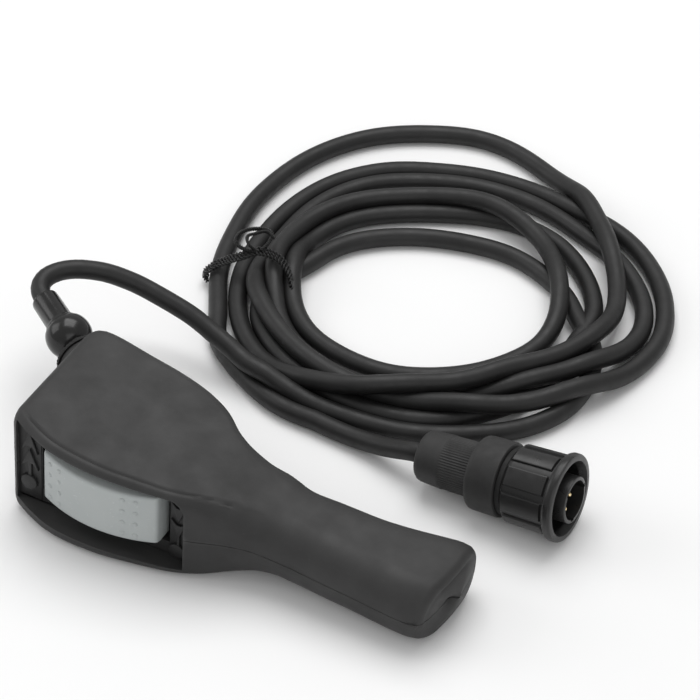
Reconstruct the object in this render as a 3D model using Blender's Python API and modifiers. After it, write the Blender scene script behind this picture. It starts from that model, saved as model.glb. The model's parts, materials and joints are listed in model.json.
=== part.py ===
"""Hand-held pendant control: a two-shell casing with a rocker, a strain relief, a cord and a plug.

Metres, +Z up. The casing lies on its flat underside: +X runs from its head to the end of its grip,
and the rocker faces -Y. Lengths below are in millimetres where a name or a comment says so.
"""
import math

import bmesh
import bpy
from mathutils import Matrix, Vector

MM = 0.001
GAP = 0.3                      # mm, clearance between touching pieces
COLLECTION = "pendant_control"

# Casing, mm. u runs along the casing, v across it (front is -v), w is its thickness.
TAPER_DEG = 3.6                # the head thins by this angle on both faces
HANDSET_AT = (2.8, -3.5)       # world place of the casing's own origin
HEAD_END = -107.2
GRIP_END = 112.0
HEAD_HALF = 30.4               # half thickness at the head's end
GRIP_HALF = 16.8
NECK_START = -10.0             # where the head starts to blend into the grip
NECK_END = 34.0
BACK_PLAN = ((-109, 42.6), (-94, 42.9), (-73, 40.8), (-58, 39.0), (-44, 36.3), (-33, 32.6), (-24, 27.8),
             (-14, 19.8), (-5, 15.4), (6, 14.2), (17, 15.9), (28, 14.9), (40, 14.9), (70, 16.0),
             (96, 20.4), (109, 22.8))
FRONT_PLAN = ((-109, -29.5), (-101.7, -33.0), (-95, -36.6), (-83, -41.2), (-70, -43.3), (-54, -43.6),
              (-37, -41.7), (-20, -38.8), (-6, -34.2), (7, -29.4), (20, -26.6), (60, -28.1),
              (97, -30.2), (109, -30.6))
HEAD_EDGE = 6.0                # edge radius of the head's section
GRIP_EDGE = 14.5
HEAD_CORNER = 10.0             # plan corner radius at the head's back corner
FRONT_CORNER = 4.0
GRIP_CORNER = 8.0
GRIP_SLANT = 0.03              # the grip's end leans, mm per mm of v
GRIP_BOW = 0.00375             # and is bowed, 1/mm
GRIP_CROWN = 4.0               # v at which the bow stands furthest out
WALL = 3.0
WINDOW_BACK = -29.7            # inner face of the thick wall around the rocker window
SEAM = 0.15                    # half of the gap between the two shells

# Rocker window and switch, mm
WINDOW = ((-103.3, -21.2), (-12.0, -19.2), (-12.0, 16.0), (-14.2, 20.4), (-19.5, 22.7), (-103.3, 27.0))
BEZEL = ((-103.9, -20.4), (-7.0, -20.4), (-7.0, 20.6), (-103.9, 26.3))
SWITCH_U = -56.7
SWITCH_W = 3.3
ROCKER_HALF = 30.4
ROCKER_W = 14.4
ROCKER_FACE = -41.6            # crown of the rocker's face
ROCKER_EDGE = -34.8
ROCKER_BACK = -24.0
PIVOT_V = -20.0
PIN_R = 1.5
BEZEL_FRONT = -29.4
BEZEL_BACK = -26.4
BEZEL_HOLE = (34.0, 15.6)
ROCKER_WALL = 2.0
FINGER_END = -17.0             # back end of the finger that holds the plunger
PLUNGER_R = 2.0
PLUNGER_BACK = -22.0
WELL_TOP = -31.0               # front end of the plunger's well
SPRING_R = 1.5
TRAY_FLOOR = -9.0
TRAY_BACK = -6.0
TRAY_WALL = 2.4
BLOCK_BACK = 3.0
BLADE_FRONT = -13.5
CONTACT_GAP = 1.2              # between the blade and an open contact
CONTACT_PITCH = 11.0
TAB_LENGTH = 8.5
CRIMP_END = 18.0
WIRE_R = 1.1

# Casing screws, mm
SCREW_SITES = ((-99.0, -16.0), (-99.0, 12.0), (-28.0, 12.0), (52.0, -6.0), (92.0, -5.0))
SCREW_R = 1.5
SCREW_HEAD_R = 2.9
SCREW_SINK = 6.0               # from the outer face to the screw head's seat
SCREW_DEPTH = 12.0             # above the parting plane
BOSS_R = 4.2

# Gland and cord, mm, in world coordinates
CORD_R = 4.8
GLAND_AT = (-108.5, 37.0, 37.0)
GLAND_AZIMUTH = 148.0
GLAND_RISE = 9.0
NECK_R = 12.2
SPIGOT_R = 8.0
BALL_R = 11.5
BALL_AT = 15.0
CORD_INNER = -32.0             # end of the jacket inside the head
SLEEVE_END = 41.5              # from the gland's flange to the sleeve's mouth
LEAD_ROUTE = ((-148.9, 63.9, 45.3), (-149.7, 68.0, 46.4), (-148.6, 72.0, 47.2), (-146.3, 75.6, 47.6),
              (-143.0, 79.3, 47.6), (-138.5, 83.0, 47.1), (-132.9, 86.8, 45.8), (-126.8, 90.2, 44.0),
              (-119.5, 93.4, 41.0), (-110.4, 96.3, 37.0), (-94.0, 98.8, 30.0), (-83.1, 99.3, 25.5),
              (-72.4, 98.1, 21.0), (-61.8, 96.1, 17.5))
TAIL_ROUTE = ((-79.4, 112.8, 5.4), (-66.6, 103.2, 5.4), (-50.9, 93.3, 5.4), (-28.8, 84.6, 5.4),
              (-9.1, 80.3, 5.4), (12.6, 77.6, 5.6), (27.2, 75.8, 7.5), (37.6, 74.0, 10.4))
COIL_OUTER = (4.8, 204.5, 118.0)
COIL_INNER = (6.8, 178.5, 63.0)
COIL_Z = (2.4, 26.0)
TIE_AT = (-76.9, 157.1)
TIE_TURN = 22.6
TIE_SPAN = 52.0

# Plug, mm, along its own axis from the cord end
PLUG_AT = (57.0, 71.8, 15.8)
PLUG_YAW = -1.8
PLUG_RISE = 4.9
RING_START = 48.6
RING_END = 76.6
SHROUD_END = 79.2
SHROUD_R = 11.3
SHROUD_BORE = 9.6
INSERT_FACE = 62.5
PIN_SITES = ((-4.8, 2.4), (0.6, 3.4), (5.6, -1.6))
WIRE_SPREAD = 0.39             # how far out the wires start, as a part of the pins' own distance
PIN_BODY_R = 1.9
PIN_R_FRONT = 1.15
PIN_TIP = 75.6
SHROUD_FOOT_R = 12.6
RING_BORE = 12.9
RING_MOUTH = 16.4
PANELS = 9


def clear_scene():
    """Remove the objects that a new file starts with."""
    for obj in list(bpy.data.objects):
        bpy.data.objects.remove(obj, do_unlink=True)


def new_collection(name):
    """Make a collection in the scene."""
    collection = bpy.data.collections.new(name)
    bpy.context.scene.collection.children.link(collection)
    return collection


clear_scene()
PARTS = new_collection(COLLECTION)
CUTTERS = new_collection("cutters")


def material(name, colour, roughness, metallic=0.0):
    """A Principled material of one colour."""
    mat = bpy.data.materials.new(name)
    mat.use_nodes = True
    shader = mat.node_tree.nodes["Principled BSDF"]
    shader.inputs["Base Color"].default_value = (*colour, 1.0)
    shader.inputs["Roughness"].default_value = roughness
    shader.inputs["Metallic"].default_value = metallic
    return mat


CASING_RUBBER = material("casing_rubber", (0.035, 0.035, 0.037), 0.62)
CORD_JACKET = material("cord_jacket", (0.020, 0.020, 0.022), 0.48)
GLAND_VINYL = material("gland_vinyl", (0.016, 0.016, 0.018), 0.25)
ROCKER_GREY = material("rocker_grey", (0.42, 0.44, 0.44), 0.45)
SWITCH_BLACK = material("switch_black", (0.012, 0.012, 0.013), 0.4)
PLUG_MATT = material("plug_matt", (0.022, 0.022, 0.024), 0.6)
PLUG_GLOSS = material("plug_gloss", (0.014, 0.014, 0.016), 0.3)
SEAL_RUBBER = material("seal_rubber", (0.010, 0.010, 0.010), 0.75)
STEEL = material("steel", (0.55, 0.56, 0.58), 0.35, 1.0)
BRASS = material("brass", (0.80, 0.62, 0.30), 0.3, 1.0)
GOLD = material("gold_plate", (0.95, 0.74, 0.38), 0.22, 1.0)
CRIMP_VINYL = material("crimp_vinyl", (0.10, 0.20, 0.55), 0.45)
WIRE_BLACK = material("wire_black", (0.02, 0.02, 0.02), 0.4)
WIRE_WHITE = material("wire_white", (0.80, 0.80, 0.78), 0.4)
WIRE_GREEN = material("wire_green", (0.05, 0.35, 0.10), 0.4)
TIE_WIRE = material("tie_wire", (0.010, 0.010, 0.010), 0.35)
WIRE_COLOURS = (WIRE_BLACK, WIRE_WHITE, WIRE_GREEN)


def empty(name, matrix):
    """An empty that carries a group of pieces."""
    obj = bpy.data.objects.new(name, None)
    obj.matrix_world = matrix
    PARTS.objects.link(obj)
    return obj


def axis_matrix(at, azimuth, rise):
    """A frame at a point in mm whose Z axis has this azimuth and rise, in degrees."""
    turn = Matrix.Rotation(math.radians(azimuth), 4, "Z")
    tip = Matrix.Rotation(math.radians(90.0 - rise), 4, "Y")
    return Matrix.Translation(Vector(at) * MM) @ turn @ tip


def place(obj, parent, matrix):
    """Hang an object under a parent, at a place in the parent's frame."""
    obj.parent = parent
    obj.matrix_local = matrix
    return obj


def finish_mesh(name, bm, mat, parent=None, matrix=None, smooth_deg=40.0):
    """Turn a bmesh in millimetres into a named object in metres."""
    bmesh.ops.scale(bm, vec=(MM, MM, MM), verts=bm.verts)
    bmesh.ops.recalc_face_normals(bm, faces=bm.faces)
    mesh = bpy.data.meshes.new(name)
    bm.to_mesh(mesh)
    bm.free()
    mesh.shade_smooth()
    mesh.set_sharp_from_angle(angle=math.radians(smooth_deg))
    obj = bpy.data.objects.new(name, mesh)
    is_cutter = mat is None
    (CUTTERS if is_cutter else PARTS).objects.link(obj)
    if is_cutter:
        obj.hide_render = True
        obj.display_type = "WIRE"
    else:
        mesh.materials.append(mat)
    return place(obj, parent, matrix or Matrix.Identity(4))


def box(name, low, high, mat, parent=None, matrix=None, bevel=0.0):
    """A box between two corners in mm, with its edges rounded if bevel is set."""
    bm = bmesh.new()
    size = [h - l for l, h in zip(low, high)]
    centre = [(h + l) / 2 for l, h in zip(low, high)]
    bmesh.ops.create_cube(bm, size=1.0)
    bmesh.ops.scale(bm, vec=size, verts=bm.verts)
    bmesh.ops.translate(bm, vec=centre, verts=bm.verts)
    if bevel:
        bmesh.ops.bevel(bm, geom=bm.edges[:], offset=bevel, segments=2, affect="EDGES", profile=0.5)
    return finish_mesh(name, bm, mat, parent, matrix)


def cylinder(name, radius, z_low, z_high, mat, parent=None, matrix=None, sides=32, bevel=0.0):
    """A cylinder along Z between two heights in mm."""
    bm = bmesh.new()
    length = z_high - z_low
    bmesh.ops.create_cone(bm, cap_ends=True, segments=sides, radius1=radius, radius2=radius, depth=length)
    bmesh.ops.translate(bm, vec=(0, 0, (z_low + z_high) / 2), verts=bm.verts)
    if bevel:
        rims = [e for e in bm.edges if abs(e.verts[0].co.z - e.verts[1].co.z) < length / 4]
        bmesh.ops.bevel(bm, geom=rims, offset=bevel, segments=2, affect="EDGES", profile=0.5)
    return finish_mesh(name, bm, mat, parent, matrix)


def prism(name, outline, low, high, mat, parent=None, matrix=None):
    """A flat outline in mm, in the frame's XY plane, extruded along its Z from low to high."""
    bm = bmesh.new()
    verts = [bm.verts.new((x, y, low)) for x, y in outline]
    base = bm.faces.new(verts)
    grown = bmesh.ops.extrude_face_region(bm, geom=[base])
    moved = [item for item in grown["geom"] if isinstance(item, bmesh.types.BMVert)]
    bmesh.ops.translate(bm, vec=(0, 0, high - low), verts=moved)
    return finish_mesh(name, bm, mat, parent, matrix)


def lathe(name, profile, mat, parent=None, matrix=None, steps=40, closed=False):
    """Turn a profile of (radius, height) pairs in mm about Z; it runs down the outside first."""
    bm = bmesh.new()
    verts = [bm.verts.new((r * MM, 0, z * MM)) for r, z in profile]
    for first, second in zip(verts, verts[1:]):
        bm.edges.new((first, second))
    if closed:
        bm.edges.new((verts[-1], verts[0]))
    mesh = bpy.data.meshes.new(name)
    bm.to_mesh(mesh)
    bm.free()
    obj = bpy.data.objects.new(name, mesh)
    is_cutter = mat is None
    (CUTTERS if is_cutter else PARTS).objects.link(obj)
    if is_cutter:
        obj.hide_render = True
        obj.display_type = "WIRE"
    else:
        mesh.materials.append(mat)
    screw = obj.modifiers.new("turn", "SCREW")
    screw.steps = steps
    screw.render_steps = steps
    screw.use_merge_vertices = True
    screw.merge_threshold = 0.00001
    screw.use_smooth_shade = True
    return place(obj, parent, matrix or Matrix.Identity(4))


def boolean(target, other, operation="DIFFERENCE"):
    """Cut a piece with another, or join another to it."""
    modifier = target.modifiers.new(operation.lower(), "BOOLEAN")
    modifier.operation = operation
    modifier.solver = "EXACT"
    modifier.object = other


def smooth_value(table, u):
    """Read a smooth curve through (u, value) pairs, flat beyond its ends."""
    if u <= table[0][0]:
        return table[0][1]
    for index in range(len(table) - 1):
        u0, a = table[index]
        u1, b = table[index + 1]
        if u > u1:
            continue
        before = table[max(index - 1, 0)]
        after = table[min(index + 2, len(table) - 1)]
        slope_a = (b - before[1]) / (u1 - before[0])
        slope_b = (after[1] - a) / (after[0] - u0)
        t = (u - u0) / (u1 - u0)
        span = u1 - u0
        return ((2 * t**3 - 3 * t**2 + 1) * a + (t**3 - 2 * t**2 + t) * span * slope_a
                + (3 * t**2 - 2 * t**3) * b + (t**3 - t**2) * span * slope_b)
    return table[-1][1]


def blend(u, start, end):
    """Go from 0 to 1 smoothly between start and end."""
    t = min(max((u - start) / (end - start), 0.0), 1.0)
    return t * t * (3 - 2 * t)


def route_points(route, spacing):
    """Points at an even spacing on a smooth curve through a route, in mm."""
    nodes = [Vector(p) for p in route]
    nodes = [nodes[0] * 2 - nodes[1], *nodes, nodes[-1] * 2 - nodes[-2]]
    dense = []
    for a, b, c, d in zip(nodes, nodes[1:], nodes[2:], nodes[3:]):
        for step in range(20):
            t = step / 20
            dense.append(0.5 * (2 * b + (c - a) * t + (2 * a - 5 * b + 4 * c - d) * t**2
                                + (3 * b - a - 3 * c + d) * t**3))
    dense.append(nodes[-2])
    lengths = [0.0]
    for first, second in zip(dense, dense[1:]):
        lengths.append(lengths[-1] + (second - first).length)
    count = max(int(lengths[-1] / spacing), 2)
    points = []
    index = 0
    for step in range(count + 1):
        wanted = lengths[-1] * step / count
        while index < len(dense) - 2 and lengths[index + 1] < wanted:
            index += 1
        t = (wanted - lengths[index]) / (lengths[index + 1] - lengths[index])
        points.append(dense[index].lerp(dense[index + 1], t))
    return points


def tube(name, points, radius, mat, resolution=2):
    """A round tube along points in mm."""
    curve = bpy.data.curves.new(name, "CURVE")
    curve.dimensions = "3D"
    curve.bevel_depth = radius * MM
    curve.bevel_resolution = resolution
    curve.use_fill_caps = True
    spline = curve.splines.new("POLY")
    spline.points.add(len(points) - 1)
    for target, point in zip(spline.points, points):
        target.co = (*(Vector(point) * MM), 1.0)
    spline.use_smooth = True
    curve.materials.append(mat)
    obj = bpy.data.objects.new(name, curve)
    PARTS.objects.link(obj)
    return obj


# ---------------------------------------------------------------- casing

def casing_half_height(u):
    """Half thickness of the casing at a station."""
    head = HEAD_HALF - math.tan(math.radians(TAPER_DEG)) * (u - HEAD_END)
    return head + (GRIP_HALF - head) * blend(u, NECK_START, NECK_END)


def rounding(distance, radius):
    """How far a side is drawn in at this distance from a rounded end."""
    if distance >= radius:
        return 0.0
    return radius - math.sqrt(max(radius**2 - (radius - distance)**2, 0.0))


def casing_ring(u, inset, arc_steps):
    """One section of the casing, as points (u, v, w), drawn in by a wall thickness."""
    from_head = u - (HEAD_END + inset)
    from_grip = (GRIP_END - inset) - u
    at_grip = rounding(from_grip, GRIP_CORNER - inset)
    front_plan = rounding(from_head, FRONT_CORNER - inset) + at_grip
    edge_in = rounding(from_head, HEAD_EDGE - inset) + at_grip
    back = smooth_value(BACK_PLAN, u) - inset - rounding(from_head, HEAD_CORNER - inset) - at_grip
    front = smooth_value(FRONT_PLAN, u) + inset + front_plan
    if inset and u < NECK_START + 2.0:
        front = max(front, WINDOW_BACK + front_plan)
    height = casing_half_height(u) - inset - edge_in
    radius = HEAD_EDGE + (GRIP_EDGE - HEAD_EDGE) * blend(u, NECK_START - 6.0, NECK_END) - inset
    radius = max(min(radius, height * 0.96, (back - front) / 2 * 0.96), 0.8)
    lean = blend(u, 40.0, 105.0)
    ring = []
    corners = ((back, height, 0), (front, height, 90), (front, -height, 180), (back, -height, 270))
    for v_side, w_side, start in corners:
        v_mid = v_side - math.copysign(radius, v_side - (back + front) / 2)
        w_mid = w_side - math.copysign(radius, w_side)
        for step in range(arc_steps + 1):
            angle = math.radians(start + 90.0 * step / arc_steps)
            v = v_mid + radius * math.cos(angle)
            w = w_mid + radius * math.sin(angle)
            from_crown = v - GRIP_CROWN
            true_u = u + lean * (GRIP_SLANT * from_crown - GRIP_BOW * from_crown**2)
            thinner = casing_half_height(true_u) - casing_half_height(u)
            ring.append((true_u, v, w * (1.0 + thinner / height)))
    return ring


def stations(start, end, fine, coarse):
    """Section places: close together at the rounded ends and in the neck."""
    ends = [0.0, 0.12, 0.35, 0.62, 1.0]
    places = [start + fine * 8 * t * t for t in ends]
    u = places[-1]
    while u < end - fine * 8 - coarse * 0.6:
        in_neck = NECK_START - 20 < u < NECK_END + 4
        u += fine * 2 if in_neck else coarse
        places.append(min(u, end - fine * 8))
    places += [end - fine * 8 * t * t for t in reversed(ends)]
    return sorted(set(round(p, 3) for p in places))


def casing_solid(name, inset, arc_steps, fine, coarse, mat=None):
    """The casing's outside, or its inside when inset is a wall thickness, as one loft."""
    bm = bmesh.new()
    rings = []
    for u in stations(HEAD_END + inset, GRIP_END - inset, fine, coarse):
        rings.append([bm.verts.new(p) for p in casing_ring(u, inset, arc_steps)])
    for first, second in zip(rings, rings[1:]):
        count = len(first)
        for index in range(count):
            after = (index + 1) % count
            bm.faces.new((first[index], first[after], second[after], second[index]))
    bm.faces.new(rings[0])
    bm.faces.new(rings[-1])
    return finish_mesh(name, bm, mat, HANDSET)


def rocker_window():
    """The opening for the rocker, taller at the head side."""
    return prism("window_cutter", WINDOW, -WINDOW_BACK - 4.0, 60.0, None, HANDSET, FACING_FRONT)


def grown(outline, by):
    """An outline of four corners around the middle of the bezel, drawn out on all sides."""
    return [(u + math.copysign(by, u - SWITCH_U), w + math.copysign(by, w)) for u, w in outline]


TAPER = Matrix.Rotation(math.radians(TAPER_DEG), 4, "Y")
HEAD_BOTTOM = TAPER @ Vector((HEAD_END * MM, 0.0, -HEAD_HALF * MM))
HANDSET_PLACE = Matrix.Translation((HANDSET_AT[0] * MM, HANDSET_AT[1] * MM, -HEAD_BOTTOM.z))
HANDSET = empty("handset_frame", HANDSET_PLACE @ TAPER)
SWITCH = empty("switch_frame", HANDSET_PLACE @ TAPER @ Matrix.Translation((0.0, 0.0, SWITCH_W * MM)))
GLAND = empty("gland_frame", axis_matrix(GLAND_AT, GLAND_AZIMUTH, GLAND_RISE))
PLUG = empty("plug_frame", axis_matrix(PLUG_AT, PLUG_YAW, PLUG_RISE))
FACING_FRONT = Matrix.Rotation(math.radians(90.0), 4, "X")    # its Z axis is the casing's -v
CUTTER = {}                    # cutters that both shells share


def along_v(u):
    """A frame in the casing whose Z axis runs along +v."""
    return Matrix.Translation(Vector((u, 0.0, 0.0)) * MM) @ Matrix.Rotation(math.radians(-90.0), 4, "X")


def along_w(u, v):
    """A frame in the casing whose Z axis runs along w."""
    return Matrix.Translation(Vector((u, v, 0.0)) * MM)


def world_point(frame, point):
    """A point of a frame, in mm, as a world point in mm."""
    return (frame.matrix_world @ (Vector(point) * MM)) / MM


def make_shell(name, side):
    """One half of the casing: side is 1 for the upper shell and -1 for the lower one."""
    shell = casing_solid(name, 0.0, 4, 1.9, 8.0, CASING_RUBBER)
    boolean(shell, CUTTER["neck"], "UNION")
    boolean(shell, CUTTER["cavity"])
    for cutter in ("window", "seat", "gland_bore"):
        boolean(shell, CUTTER[cutter])
    for index, (u, v) in enumerate(SCREW_SITES):
        top = casing_half_height(u) - 1.2
        low, high = (0.0, top) if side > 0 else (-top, 0.0)
        boss = cylinder(f"{name}_boss_{index}", BOSS_R, low, high, None, HANDSET, along_w(u, v), 12)
        boolean(shell, boss, "UNION")
        low, high = (-1.0, SCREW_DEPTH + 1.0) if side > 0 else (-top - 4.0, 1.0)
        bore = cylinder(f"{name}_bore_{index}", SCREW_R + GAP, low, high, None, HANDSET, along_w(u, v), 12)
        boolean(shell, bore)
        if side < 0:
            seat = cylinder(f"{name}_seat_{index}", SCREW_HEAD_R + GAP, -top - 6.0, -top + SCREW_SINK,
                            None, HANDSET, along_w(u, v), 16)
            boolean(shell, seat)
    low, high = (-60.0, SEAM) if side > 0 else (-SEAM, 60.0)
    half = box(f"{name}_half", (-200.0, -100.0, low), (200.0, 100.0, high), None, HANDSET)
    boolean(shell, half)


def make_casing():
    """The two shells and the screws that hold them together."""
    CUTTER["cavity"] = casing_solid("cavity", WALL, 2, 1.9, 14.0)
    CUTTER["neck"] = cylinder("neck", NECK_R, -26.0, 0.0, None, GLAND, sides=24)
    CUTTER["gland_bore"] = cylinder("gland_bore", SPIGOT_R + GAP, -40.0, 8.0, None, GLAND, sides=24)
    CUTTER["window"] = rocker_window()
    CUTTER["seat"] = prism("bezel_seat", grown(BEZEL, GAP), -BEZEL_BACK - 8.0, -BEZEL_FRONT + GAP,
                           None, HANDSET, FACING_FRONT)
    make_shell("upper_casing", 1)
    make_shell("lower_casing", -1)
    for index, (u, v) in enumerate(SCREW_SITES, start=1):
        seat = -casing_half_height(u) + 1.2 + SCREW_SINK - GAP
        profile = ((0.0, SCREW_DEPTH), (SCREW_R * 0.6, SCREW_DEPTH), (SCREW_R, SCREW_DEPTH - 1.5),
                   (SCREW_R, seat), (SCREW_HEAD_R, seat), (SCREW_HEAD_R, seat - 1.4),
                   (SCREW_HEAD_R * 0.7, seat - 2.0), (1.1, seat - 2.0), (0.0, seat - 1.0))
        lathe(f"casing_screw_{index}", profile, STEEL, HANDSET, along_w(u, v), 12)


# ---------------------------------------------------------------- switch

def rocker_outline(inset):
    """The rocker's outline in u and v: a bowed face and a straight back."""
    half = ROCKER_HALF - inset
    sagitta = ROCKER_EDGE - ROCKER_FACE
    radius = (ROCKER_HALF**2 + sagitta**2) / (2 * sagitta)
    centre = ROCKER_FACE + radius
    limit = math.asin(half / (radius - inset))
    outline = []
    for step in range(17):
        angle = -limit + 2 * limit * step / 16
        across = (radius - inset) * math.sin(angle)
        outline.append((SWITCH_U + across, centre - (radius - inset) * math.cos(angle)))
    back = ROCKER_BACK + (3.0 if inset else 0.0)
    outline += [(SWITCH_U + half, back), (SWITCH_U - half, back)]
    return outline


def make_rocker():
    """The rocker, hollow behind, with its two lugs and the finger that holds the plunger."""
    rocker = prism("rocker_actuator", rocker_outline(0.0), -ROCKER_W, ROCKER_W, ROCKER_GREY, SWITCH)
    rounding_edges = rocker.modifiers.new("rounded", "BEVEL")
    rounding_edges.width = 1.4 * MM
    rounding_edges.segments = 2
    rounding_edges.limit_method = "ANGLE"
    rounding_edges.angle_limit = math.radians(40.0)
    inner_w = ROCKER_W - ROCKER_WALL
    boolean(rocker, prism("rocker_hollow", rocker_outline(ROCKER_WALL), -inner_w, inner_w, None, SWITCH))
    for side in (-1, 1):
        low, high = sorted((side * (inner_w - 0.6), side * (ROCKER_W - 0.4)))
        lug = box(f"lug_{side}", (SWITCH_U - 4.5, ROCKER_BACK - 6.0, low),
                  (SWITCH_U + 4.5, PIVOT_V + 4.0, high), None, SWITCH)
        boolean(rocker, lug, "UNION")
    finger = box("finger", (SWITCH_U - 3.4, ROCKER_FACE + 1.2, -3.4), (SWITCH_U + 3.4, FINGER_END, 3.4),
                 None, SWITCH)
    boolean(rocker, finger, "UNION")
    pin_hole = cylinder("pin_hole", PIN_R + GAP, inner_w - 3.0, ROCKER_W + 3.0, None, SWITCH,
                        along_w(SWITCH_U, PIVOT_V), 20)
    other_hole = cylinder("pin_hole_low", PIN_R + GAP, -ROCKER_W - 3.0, -inner_w + 3.0, None, SWITCH,
                          along_w(SWITCH_U, PIVOT_V), 20)
    boolean(rocker, pin_hole)
    boolean(rocker, other_hole)
    well = cylinder("plunger_well", PLUNGER_R + GAP, WELL_TOP, FINGER_END + 2.0, None, SWITCH,
                    along_v(SWITCH_U), 20)
    boolean(rocker, well)


def make_plunger():
    """The plunger in the rocker's finger, and the spring behind it."""
    tip = BLADE_FRONT - GAP
    profile = [(0.0, tip)]
    for step in range(1, 4):
        angle = math.radians(30.0 * step)
        profile.append((PLUNGER_R * math.sin(angle), tip - PLUNGER_R + PLUNGER_R * math.cos(angle)))
    profile += [(PLUNGER_R, PLUNGER_BACK), (0.0, PLUNGER_BACK)]
    lathe("plunger", profile, SWITCH_BLACK, SWITCH, along_v(SWITCH_U), 12)
    turns, per_turn = 4, 8
    low, high = WELL_TOP + GAP + 0.3, PLUNGER_BACK - GAP - 0.3
    helix = []
    for step in range(turns * per_turn + 1):
        angle = 2 * math.pi * step / per_turn
        v = low + (high - low) * step / (turns * per_turn)
        around = (SPRING_R * math.cos(angle), SPRING_R * math.sin(angle))
        helix.append(world_point(SWITCH, (SWITCH_U + around[0], v, around[1])))
    tube("plunger_spring", helix, 0.25, STEEL, 1)


def make_switch_housing():
    """The bezel plate, the tray that carries the rocker, and the two pins it turns on."""
    bezel = prism("switch_bezel", BEZEL, -BEZEL_BACK, -BEZEL_FRONT, SWITCH_BLACK, HANDSET, FACING_FRONT)
    hole_u, hole_w = BEZEL_HOLE
    boolean(bezel, box("bezel_hole", (SWITCH_U - hole_u, BEZEL_FRONT - 5.0, -hole_w),
                       (SWITCH_U + hole_u, BEZEL_BACK + 5.0, hole_w), None, SWITCH))
    body = box("switch_body", (SWITCH_U - hole_u - 3.0, BEZEL_BACK + GAP, -hole_w - TRAY_WALL),
               (SWITCH_U + hole_u + 3.0, TRAY_BACK, hole_w + TRAY_WALL), SWITCH_BLACK, SWITCH)
    boolean(body, box("switch_block", (SWITCH_U - 18.0, TRAY_BACK - 1.5, -11.0),
                      (SWITCH_U + 18.0, BLOCK_BACK, 11.0), None, SWITCH), "UNION")
    boolean(body, box("tray_pocket", (SWITCH_U - hole_u, BEZEL_BACK - 5.0, -hole_w),
                      (SWITCH_U + hole_u, TRAY_FLOOR, hole_w), None, SWITCH))
    for index in (-1, 0, 1):
        u = SWITCH_U + CONTACT_PITCH * index
        boolean(body, box(f"blade_slot_{index}", (u - 0.4 - GAP, TRAY_FLOOR - 4.0, -1.6 - GAP),
                          (u + 0.4 + GAP, BLOCK_BACK + 4.0, 1.6 + GAP), None, SWITCH))
    for index, side in enumerate((-1, 1), start=1):
        near, far = side * (ROCKER_W - ROCKER_WALL - 2.0), side * (hole_w + 1.2)
        low, high = sorted((near, far))
        socket_low, socket_high = sorted((side * (hole_w - 2.0), side * (hole_w + 1.2 + GAP)))
        boolean(body, cylinder(f"pin_socket_{index}", PIN_R + GAP, socket_low, socket_high, None, SWITCH,
                               along_w(SWITCH_U, PIVOT_V), 20))
        cylinder(f"pivot_pin_{index}", PIN_R, low, high, STEEL, SWITCH, along_w(SWITCH_U, PIVOT_V), 20)


def make_contacts():
    """The rocking contact blade, its three fixed contacts and their push-on connectors."""
    box("contact_blade", (SWITCH_U - 12.5, BLADE_FRONT, -3.2), (SWITCH_U + 12.5, BLADE_FRONT + 0.8, 3.2),
        BRASS, SWITCH)
    for index, name in ((-1, "in"), (0, "common"), (1, "out")):
        u = SWITCH_U + CONTACT_PITCH * index
        head = BLADE_FRONT + 0.8 + (GAP if index == 0 else CONTACT_GAP)
        terminal = box(f"terminal_{name}", (u - 0.4, BLOCK_BACK + GAP, -3.15),
                       (u + 0.4, BLOCK_BACK + TAB_LENGTH, 3.15), BRASS, SWITCH)
        boolean(terminal, box(f"stem_{name}", (u - 0.4, head + 0.2, -1.6), (u + 0.4, BLOCK_BACK + 2.0, 1.6),
                              None, SWITCH), "UNION")
        boolean(terminal, box(f"head_{name}", (u - 1.8, head, -1.8), (u + 1.8, TRAY_FLOOR - GAP, 1.8),
                              None, SWITCH), "UNION")
        low = BLOCK_BACK + 2.4
        sleeve = box(f"push_connector_{name}", (u - 1.8, low, -4.4), (u + 1.8, low + 9.0, 4.4),
                     CRIMP_VINYL, SWITCH, bevel=0.6)
        barrel = cylinder(f"barrel_{name}", 2.3, low + 8.0, CRIMP_END, None, SWITCH, along_v(u), 20)
        boolean(sleeve, barrel, "UNION")
        boolean(sleeve, box(f"tab_slot_{name}", (u - 0.4 - GAP, low - 2.0, -3.15 - GAP),
                            (u + 0.4 + GAP, BLOCK_BACK + TAB_LENGTH + GAP, 3.15 + GAP), None, SWITCH))


def make_conductors():
    """The cord's end inside the head, its clamp, and the three conductors to the switch."""
    cylinder("cord_entry", CORD_R, CORD_INNER, SLEEVE_END, CORD_JACKET, GLAND, sides=24)
    clamp_at = CORD_INNER + 9.0
    clamp = box("cord_clamp", (-7.4, -7.4, clamp_at - 3.0), (7.4, 7.4, clamp_at + 3.0), SWITCH_BLACK, GLAND,
                bevel=1.2)
    clamp_bore = cylinder("clamp_bore", CORD_R + GAP, clamp_at - 8.0, clamp_at + 8.0, None, GLAND, sides=24)
    boolean(clamp, clamp_bore)
    routes = {
        "in": ((-75.0, 23.0, -1.5), (-70.0, 26.0, -1.5)),
        "common": ((-76.0, 22.5, 4.5), (-65.0, 27.5, 3.5), (-58.0, 27.0, 1.5)),
        "out": ((-76.0, 26.8, 5.0), (-64.0, 31.3, 6.0), (-51.0, 30.0, 4.0), (-46.0, 26.0, 1.2)),
    }
    for index, (name, middle) in enumerate(routes.items()):
        angle = math.radians(120.0 * index)
        starts = [world_point(GLAND, (2.1 * math.cos(angle), 2.1 * math.sin(angle), CORD_INNER - GAP - out))
                  for out in (0.0, 3.0)]
        u = SWITCH_U + CONTACT_PITCH * (index - 1)
        ends = [world_point(SWITCH, (u, CRIMP_END + out, 0.0)) for out in (3.0, GAP)]
        route = [*starts, *(world_point(HANDSET, p) for p in middle), *ends]
        tube(f"conductor_{name}", route_points(route, 2.6), WIRE_R, WIRE_COLOURS[index])


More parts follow.
